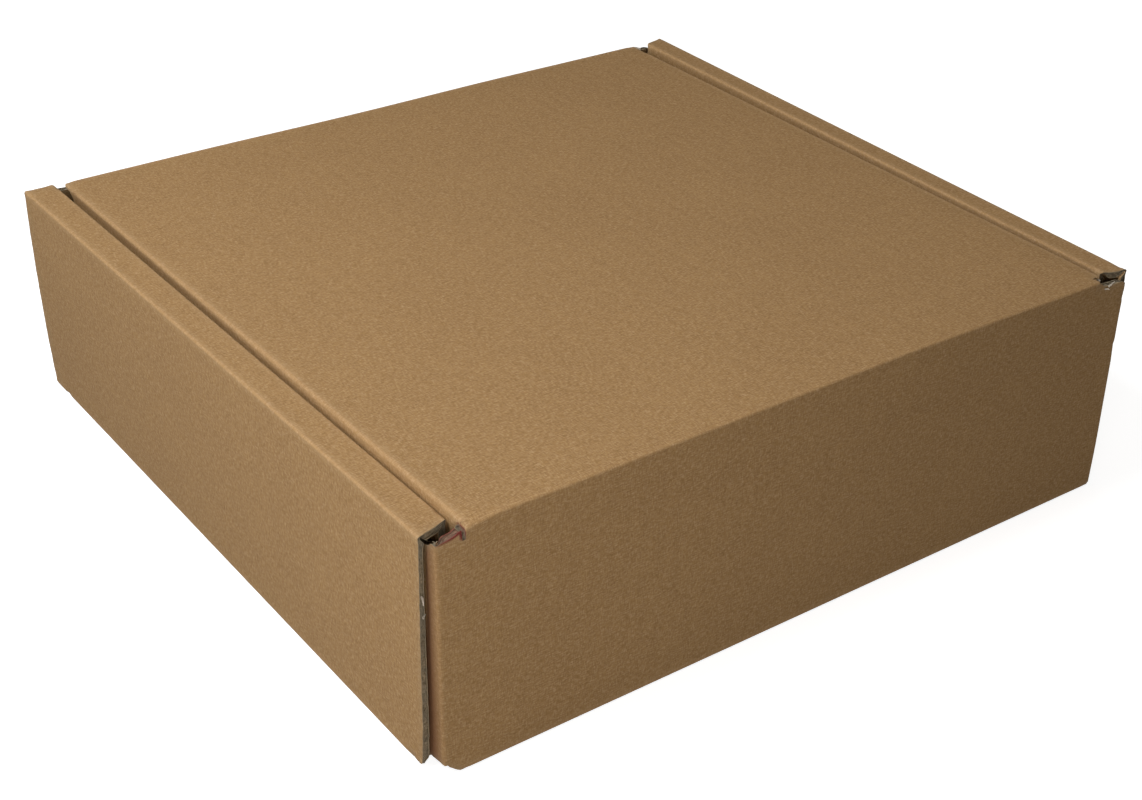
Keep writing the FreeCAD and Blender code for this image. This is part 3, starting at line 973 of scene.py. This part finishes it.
# Torn bits: where each starts, its heading, how it lies, its length, width and curl in degrees
TORN_BITS = [
    ((-138.6, 143.2, 87.3), (-1.0, 0.0, 0.35), (0.0, 0.4, 1.0), 3.4, 0.8, 40),
    ((-136.4, 143.4, 86.9), (-0.8, 0.3, -0.2), (0.2, 1.0, 0.3), 1.8, 0.7, 60),
    ((-137.6, 139.8, 88.4), (0.6, -0.4, 0.6), (0.5, 0.8, 0.0), 1.9, 0.7, -50),
    ((151.6, 136.2, 68.0), (-0.2, 0.55, -1.0), (1.0, 0.4, 0.0), 3.0, 0.8, 30),
    ((151.2, 136.1, 59.5), (0.0, 0.5, 0.9), (1.0, 0.4, 0.0), 2.2, 0.7, -35),
    ((-138.6, -135.2, 88.6), (1.0, -1.0, 0.1), (0.3, 0.4, 1.0), 3.6, 1.4, 8),
]


TORN_STEPS = 9
TORN_HALF_THICKNESS = 0.12


def torn_bit(start, heading, lie, length, width, curl):
    """A thin scrap of torn liner as rings of four points that narrow to its end."""
    along = np.array(heading) / np.linalg.norm(heading)
    across = np.cross(along, lie)
    across /= np.linalg.norm(across)
    up = np.cross(across, along)
    place = np.array(start, float)
    last = TORN_STEPS - 1
    rings = []
    for k in range(TORN_STEPS):
        turn = math.radians(curl) * k / last
        ahead = along * math.cos(turn) + up * math.sin(turn)
        thick = (up * math.cos(turn) - along * math.sin(turn)) * TORN_HALF_THICKNESS
        half = width / 2 * (1 - 0.8 * (k / last) ** 2) * RNG.uniform(0.75, 1.1)
        sideways = across * half
        rings += [place - sideways - thick, place + sideways - thick,
                  place + sideways + thick, place - sideways + thick]
        place = place + ahead * length / last + across * RNG.normal(0, 0.05)
    return rings


def make_torn_bits():
    """Light scraps of liner that hang at the cuts."""
    places, faces = [], []
    for bit in TORN_BITS:
        first = len(places)
        rings = torn_bit(*bit)
        places += rings
        for k in range(first, first + len(rings) - 4, 4):
            ring = [k, k + 1, k + 2, k + 3]
            faces += ring_faces(ring, [i + 4 for i in ring])
        faces += [(first + 3, first + 2, first + 1, first), tuple(range(len(places) - 4, len(places)))]
    ideal = np.array(places)
    marks = np.zeros((len(ideal), 4))
    kinds = [TORN] * len(faces)
    return make_mesh("torn_bits", settle(ideal, False), faces, kinds, ideal[:, :2], marks)


# Materials

class Shader:
    """A node material that is built line by line."""

    def __init__(self, name):
        self.material = bpy.data.materials.new(name)
        self.material.use_nodes = True
        self.tree = self.material.node_tree
        self.tree.nodes.clear()

    def node(self, kind, settings=None, **inputs):
        """Adds a node. Inputs go by name, or by number as n0; each is a value, or a socket to link."""
        made = self.tree.nodes.new("ShaderNode" + kind)
        for key, value in (settings or {}).items():
            setattr(made, key, value)
        for key, value in inputs.items():
            numbered = key[0] == "n" and key[1:].isdigit()
            socket = made.inputs[int(key[1:]) if numbered else key.replace("_", " ")]
            if isinstance(value, bpy.types.NodeSocket):
                self.tree.links.new(value, socket)
            else:
                socket.default_value = value
        return made

    def math(self, operation, one, other=0.0, clamp=False):
        """One value from two."""
        made = self.node("Math", {"operation": operation, "use_clamp": clamp}, n0=one, n1=other)
        return made.outputs[0]

    def mix(self, share, one, other):
        """A colour between two."""
        made = self.node("Mix", {"data_type": "RGBA"}, n0=share, n6=one, n7=other)
        return made.outputs[2]

    def noise(self, vector, scale, detail, rough=0.55):
        """Noise as a value."""
        made = self.node("TexNoise", Vector=vector, Scale=scale, Detail=detail, Roughness=rough)
        return made.outputs["Fac"]

    def mapped(self, vector, scale, turn):
        """A place, turned about Z and scaled."""
        made = self.node("Mapping", Vector=vector, Scale=scale, Rotation=(0, 0, turn))
        return made.outputs["Vector"]

    def spread(self, value, low, high, to_low=0.0, to_high=1.0):
        """Carries the range from low to high over to another range, and clamps it."""
        made = self.node("MapRange", Value=value, From_Min=low, From_Max=high, To_Min=to_low, To_Max=to_high)
        return made.outputs["Result"]

    def marks(self):
        """The mesh's marks: fold, cut and stain, and how light the board is, which carries painted shade."""
        marks = self.node("Attribute", {"attribute_name": "marks"}).outputs
        split = self.node("SeparateColor", Color=marks["Color"]).outputs
        return split[0], split[1], split[2], marks["Alpha"]

    def times(self, one, other):
        """The product of two values."""
        return self.math("MULTIPLY", one, other)

    def board(self, colour, rough, height, depth, strength, specular):
        """Joins colour, roughness and bump into the material. The bump's depth is in millimetres."""
        bump = self.node("Bump", Height=height, Distance=depth * MM, Strength=strength)
        surface = self.node("BsdfPrincipled", Base_Color=colour, Roughness=rough,
                            Normal=bump.outputs["Normal"], Specular_IOR_Level=specular)
        self.node("OutputMaterial", Surface=surface.outputs[0])
        return self.material


def linear(red, green, blue):
    """A screen colour as the linear colour that shaders take."""
    return tuple((c / 255 / 12.92) if c <= 10 else ((c / 255 + 0.055) / 1.055) ** 2.4
                 for c in (red, green, blue)) + (1.0,)


KRAFT = linear(166, 131, 85)
KRAFT_DARK = linear(126, 93, 56)
KRAFT_PALE = linear(200, 168, 128)
STAIN = linear(108, 34, 32)
CORE_TONE = linear(160, 144, 118)
CORE_DARK = linear(94, 80, 60)
CUT_TONE = linear(168, 148, 116)
FLECK_TONE = linear(118, 84, 52)
# Painted shade for the corner flap's strip beside the side panel's cut end
PAINTED_SHADE_TONE = linear(104, 68, 42)
GREY_TONE = linear(108, 106, 96)
TORN_TONE = linear(214, 202, 188)
TORN_DARK = linear(176, 160, 138)

# Bands per unit of length that a wave texture makes at scale 1, which is 10 / pi
WAVE_BANDS = 3.1831


def kraft_liner():
    """Brown kraft paper: fibres, mottling, the fluting's faint shadow, rubbed folds, dusty cuts and painted
    shade on the corner flap's strip.
    """
    shader = Shader("kraft_liner")
    sheet = shader.node("UVMap", {"uv_map": "blank"}).outputs["UV"]
    fold, cut, stain, light = shader.marks()
    # The share of painted shade, from the marks' alpha
    shade = shader.math("SUBTRACT", 1.0, light)
    cloud = shader.noise(sheet, 22.0, 2.0)
    mottle = shader.noise(sheet, 950.0, 3.0, 0.7)
    blotch = shader.noise(sheet, 170.0, 2.0)
    along = shader.noise(shader.mapped(sheet, (420.0, 2400.0, 1.0), 0.06), 1.0, 3.0, 0.6)
    slant = shader.noise(shader.mapped(sheet, (2100.0, 520.0, 1.0), 0.55), 1.0, 3.0, 0.6)
    fleck = shader.noise(shader.mapped(sheet, (260.0, 1500.0, 1.0), -0.35), 1.0, 2.0, 0.5)
    fibre = shader.math("ADD", shader.times(along, 0.55), shader.times(slant, 0.45))
    wave = shader.node("TexWave", Vector=sheet, Scale=1 / (FLUTE_PITCH * MM) / WAVE_BANDS)
    flute = shader.times(wave.outputs["Fac"], shader.spread(cloud, 0.3, 0.7, 0.4, 1.0))
    colour = shader.mix(shader.spread(cloud, 0.3, 0.7), shader.mix(0.16, KRAFT, KRAFT_DARK), KRAFT)
    worn = shader.times(fold, shader.spread(mottle, 0.4, 0.62, 0.05, 0.3))
    soaked = shader.times(stain, shader.spread(cut, 0.72, 0.93))
    layers = [
        (shader.spread(blotch, 0.35, 0.68, 0.0, 0.22), KRAFT_DARK),
        (shader.spread(mottle, 0.35, 0.65, 0.0, 0.55), KRAFT_DARK),
        (shader.spread(fibre, 0.47, 0.66, 0.0, 0.6), KRAFT_PALE),
        (shader.spread(fleck, 0.64, 0.78, 0.0, 0.5), FLECK_TONE),
        (shader.times(flute, 0.06), KRAFT_DARK),
        # Painted shade darkens the corner flap's strip
        (shader.times(shade, 0.95), PAINTED_SHADE_TONE),
        (worn, KRAFT_PALE),
        (shader.times(cut, 0.18), CORE_TONE),
        (shader.times(soaked, shader.spread(mottle, 0.3, 0.5, 0.7, 1.0)), STAIN),
    ]
    for share, tone in layers:
        colour = shader.mix(share, colour, tone)
    height = shader.math("ADD", shader.times(fibre, 0.05), shader.times(mottle, 0.03))
    height = shader.math("ADD", height, shader.times(flute, 0.05))
    rough = shader.spread(fibre, 0.3, 0.7, 0.92, 0.72)
    return shader.board(colour, rough, height, 1.0, 0.9, 0.25)


def cut_board(name, tone, dark, scale, soak):
    """The raw stuff of a cut: fuzzy, greyish and uneven."""
    shader = Shader(name)
    place = shader.node("TexCoord").outputs["Object"]
    stain = shader.marks()[2]
    grain = shader.noise(place, scale, 4.0, 0.7)
    patch = shader.noise(place, scale / 7, 2.0)
    colour = shader.mix(shader.spread(grain, 0.3, 0.7), dark, tone)
    colour = shader.mix(shader.spread(patch, 0.4, 0.6, 0.0, 0.45), colour, GREY_TONE)
    colour = shader.mix(shader.times(stain, soak), colour, STAIN)
    rough = shader.spread(grain, 0.2, 0.8, 0.95, 0.8)
    return shader.board(colour, rough, grain, 0.3, 0.8, 0.15)


MATERIALS = [
    kraft_liner(),
    cut_board("cut_liner", CUT_TONE, CORE_TONE, 1600.0, 0.85),
    cut_board("fluted_medium", CORE_TONE, CORE_DARK, 1100.0, 0.4),
    cut_board("torn_liner", TORN_TONE, TORN_DARK, 1500.0, 0.0),
]


# Stage

FLOOR_SIZE = 12.0
FLOOR_DROP = 0.0003


def make_floor():
    """A pale floor that reads as white to the camera and keeps the box's shadow."""
    bpy.ops.mesh.primitive_plane_add(size=FLOOR_SIZE, location=(0, 0, -FLOOR_DROP))
    floor = bpy.context.object
    floor.name = "floor"
    shader = Shader("floor")
    path = shader.node("LightPath")
    seen = shader.math("ADD", path.outputs["Is Camera Ray"], path.outputs["Is Glossy Ray"])
    seen = shader.math("ADD", seen, path.outputs["Is Transmission Ray"], True)
    pale = shader.node("BsdfDiffuse", Color=(0.62, 0.62, 0.62, 1.0))
    glow = shader.node("Emission", Color=(1.0, 1.0, 1.0, 1.0), Strength=0.8)
    shown = shader.node("AddShader", n0=pale.outputs[0], n1=glow.outputs[0])
    plain = shader.node("BsdfDiffuse", Color=(0.2, 0.2, 0.2, 1.0))
    both = shader.node("MixShader", n0=seen, n1=plain.outputs[0], n2=shown.outputs[0])
    shader.node("OutputMaterial", Surface=both.outputs[0])
    floor.data.materials.append(shader.material)


def make_world():
    """White behind the box, and a dimmer even light all round."""
    world = bpy.data.worlds.new("studio")
    world.use_nodes = True
    bpy.context.scene.world = world
    nodes, links = world.node_tree.nodes, world.node_tree.links
    nodes.clear()
    path = nodes.new("ShaderNodeLightPath")
    mix = nodes.new("ShaderNodeMixShader")
    out = nodes.new("ShaderNodeOutputWorld")
    links.new(path.outputs["Is Camera Ray"], mix.inputs[0])
    for place, colour, strength in (
        (1, (1.0, 0.98, 0.95, 1.0), WORLD_STRENGTH),
        (2, (1.0, 1.0, 1.0, 1.0), 1.0),
    ):
        light = nodes.new("ShaderNodeBackground")
        light.inputs["Color"].default_value = colour
        light.inputs["Strength"].default_value = strength
        links.new(light.outputs[0], mix.inputs[place])
    links.new(mix.outputs[0], out.inputs[0])


def make_lamp(name, place, width, power, colour):
    """A square soft lamp that faces the box. Places are in metres."""
    data = bpy.data.lights.new(name, "AREA")
    data.shape = "SQUARE"
    data.size = width
    data.energy = power
    data.color = colour
    lamp = add_object(name, data)
    lamp.location = place
    lamp.rotation_mode = "QUATERNION"
    lamp.rotation_quaternion = (Vector(LAMP_TARGET) - Vector(place)).to_track_quat("-Z", "Y")


WORLD_STRENGTH = 0.2
LAMP_TARGET = (0.0, 0.0, 0.05)
# Each lamp's place, width, power and colour
LAMPS = {
    "key": ((0.55, -0.05, 0.8), 0.3, 5.9, (0.97, 0.98, 1.0)),
    "left": ((0.8, -0.1, 0.3), 0.25, 0.7, (0.95, 0.98, 1.0)),
    "near_fill": ((0.42, 0.55, 0.24), 0.25, 1.6, (1.0, 0.98, 0.96)),
    "overhead": ((0.0, 0.0, 1.5), 0.8, 1.3, (1.0, 0.94, 0.82)),
}

# The camera as fitted to the photograph: lens in mm, place in metres, two directions
LENS = 60.28
EYE = (0.38632, 0.51553, 0.40766)
RIGHT = Vector((-0.80818, 0.58810, 0.03132))
FORWARD = Vector((-0.51530, -0.68039, -0.52109))


def make_camera():
    """The photograph's viewpoint, with the camera rolled by about two degrees."""
    data = bpy.data.cameras.new("camera")
    data.sensor_width = 36.0
    data.lens = LENS
    camera = add_object("camera", data)
    back = -FORWARD.normalized()
    right = (RIGHT - back * RIGHT.dot(back)).normalized()
    up = back.cross(right)
    turn = Matrix((right, up, back)).transposed().to_4x4()
    camera.matrix_world = Matrix.Translation(EYE) @ turn
    bpy.context.scene.camera = camera


tray = make_tray()
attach(tray, "tray")
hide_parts("tray")

lid = make_lid()
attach(lid, "lid")
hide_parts("lid")

bits = make_torn_bits()
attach(bits, "tray")

make_crease("hinge_crease", LEFT_JOINT, CRUSH_START)
make_crease("hinge_crease_left", -crease_reach(-1), LEFT_JOINT)
make_crease("hinge_crease_right", CRUSH_START, crease_reach(1))

make_floor()
make_world()
for name, settings in LAMPS.items():
    make_lamp(name, *settings)
make_camera()
bpy.context.scene.view_settings.view_transform = "Standard"
